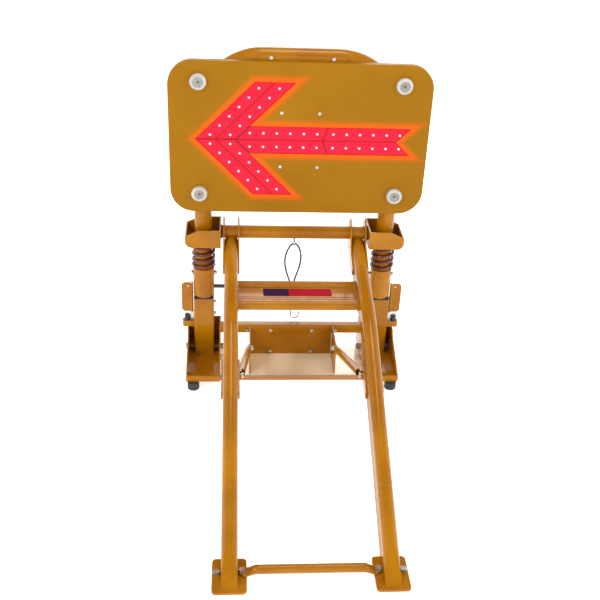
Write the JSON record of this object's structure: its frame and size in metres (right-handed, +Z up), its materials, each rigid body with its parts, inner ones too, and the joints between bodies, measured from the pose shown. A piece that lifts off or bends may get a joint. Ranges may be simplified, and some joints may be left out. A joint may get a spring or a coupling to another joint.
{
  "type": "arrow board carrier",
  "caption": "Lit arrow sign panel on a sprung inverted-U mast, with base brackets, an equipment tray and two folding stay arms that end in foot plates.",
  "frame": {"origin": "on the floor under the middle of the whole footprint", "axes": "+Z up, +Y from the arms' feet to the back of the mast, +X to the right as the sign is read"},
  "size_m": [0.9, 1.313, 1.2287],
  "materials": {
    "frame_paint": "gloss amber yellow powder coat",
    "panel_paint": "satin amber yellow",
    "spring_paint": "gloss dark red",
    "red_lens": "lit red",
    "carrier_black": "matt black",
    "lamp_white": "milky white",
    "lamp_grey": "reflector grey",
    "moulded_black": "moulded black",
    "zinc": "bright zinc plate",
    "dark_sleeve": "dark brown",
    "rubber": "matt black rubber",
    "box_grey": "grey box",
    "label_film": "plain two-colour film",
    "cord_sheath": "black sheath"
  },
  "bodies": {
    "frame": {"box_brackets": "frame_paint", "cross_tube": "frame_paint", "back_stays": "frame_paint", "lower_posts": "frame_paint", "base_brackets": "frame_paint", "rear_rail": "frame_paint", "back_panel": "frame_paint", "side_plates": "frame_paint", "plunger_brackets": "frame_paint", "tray_floor": "frame_paint", "coil_springs": "spring_paint", "bracket_bushes": "moulded_black", "post_bushes": "moulded_black", "post_bolts": "zinc", "base_pivot_bolts": "zinc", "tray_bolts": "zinc", "strut_pivots": "zinc", "eye_bolt": "zinc", "flap_pins": "zinc", "base_spacers": "dark_sleeve", "rubber_feet": "rubber"},
    "mast": {"mast_pipe": "frame_paint", "sign_panel": "panel_paint", "panel_rails": "frame_paint", "top_hanger": "frame_paint", "hanger_bolts": "zinc", "mast_saddles": "frame_paint", "u_bolts": "zinc", "led_carrier": "carrier_black", "led_modules": "red_lens", "led_lenses": "red_lens", "lamp_rings": "lamp_white", "lamp_discs": "lamp_grey", "lamp_nuts": "moulded_black", "panel_screws": "zinc", "control_box": "box_grey", "control_box_lid": "box_grey", "spring_collars": "frame_paint", "collar_bolts": "zinc", "lift_grip": "moulded_black"},
    "arms": {"arm_right": "frame_paint", "arm_left": "frame_paint", "arm_end_caps": "frame_paint", "arm_ears": "frame_paint", "foot_plates": "frame_paint", "foot_bolts": "zinc", "cross_strap": "frame_paint", "mid_step": "frame_paint", "step_label": "label_film", "strut_brackets": "frame_paint", "strut_pins": "zinc"},
    "hook_loop": {"cord_loop": "cord_sheath", "ferrule": "zinc", "steel_hook": "zinc"},
    "strut_left": {"strut_left": "frame_paint"},
    "strut_right": {"strut_right": "frame_paint"},
    "lock_flap_left": {"lock_flap_left": "frame_paint"},
    "lock_flap_right": {"lock_flap_right": "frame_paint"},
    "plunger_left": {"plunger_left": "moulded_black"},
    "plunger_right": {"plunger_right": "moulded_black"}
  },
  "joints": [
    {"name": "mast_rise", "type": "slide", "parent": "frame", "child": "mast", "axis": [0, 0, 1], "range_m": [0, 0.04], "stiffness_N_per_m": 4000, "deforming": ["coil_springs"]},
    {"name": "arms_fold", "type": "hinge", "parent": "frame", "child": "arms", "pos_m": [0, 0.5785, 0.548], "axis": [-1, 0, 0], "range_deg": [0, 72]},
    {"name": "strut_left_swing", "type": "hinge", "parent": "frame", "child": "strut_left", "pos_m": [-0.1674, 0.4385, 0.125], "axis": [1, 0, 0], "range_deg": [0, 18]},
    {"name": "strut_right_swing", "type": "hinge", "parent": "frame", "child": "strut_right", "pos_m": [0.1674, 0.4385, 0.125], "axis": [1, 0, 0], "range_deg": [0, 18]},
    {"name": "flap_left_swing", "type": "hinge", "parent": "frame", "child": "lock_flap_left", "pos_m": [-0.385, 0.5685, 0.276], "axis": [0, 0, 1], "range_deg": [0, 95]},
    {"name": "flap_right_swing", "type": "hinge", "parent": "frame", "child": "lock_flap_right", "pos_m": [0.385, 0.5685, 0.276], "axis": [0, 0, -1], "range_deg": [0, 95]},
    {"name": "plunger_left_pull", "type": "slide", "parent": "frame", "child": "plunger_left", "axis": [0, 0, 1], "range_m": [0, 0.01], "stiffness_N_per_m": 500},
    {"name": "plunger_right_pull", "type": "slide", "parent": "frame", "child": "plunger_right", "axis": [0, 0, 1], "range_m": [0, 0.01], "stiffness_N_per_m": 500},
    {"name": "hook_swing", "type": "hinge", "parent": "frame", "child": "hook_loop", "pos_m": [0, 0.5785, 0.497], "axis": [1, 0, 0], "range_deg": [-40, 40]}
  ]
}
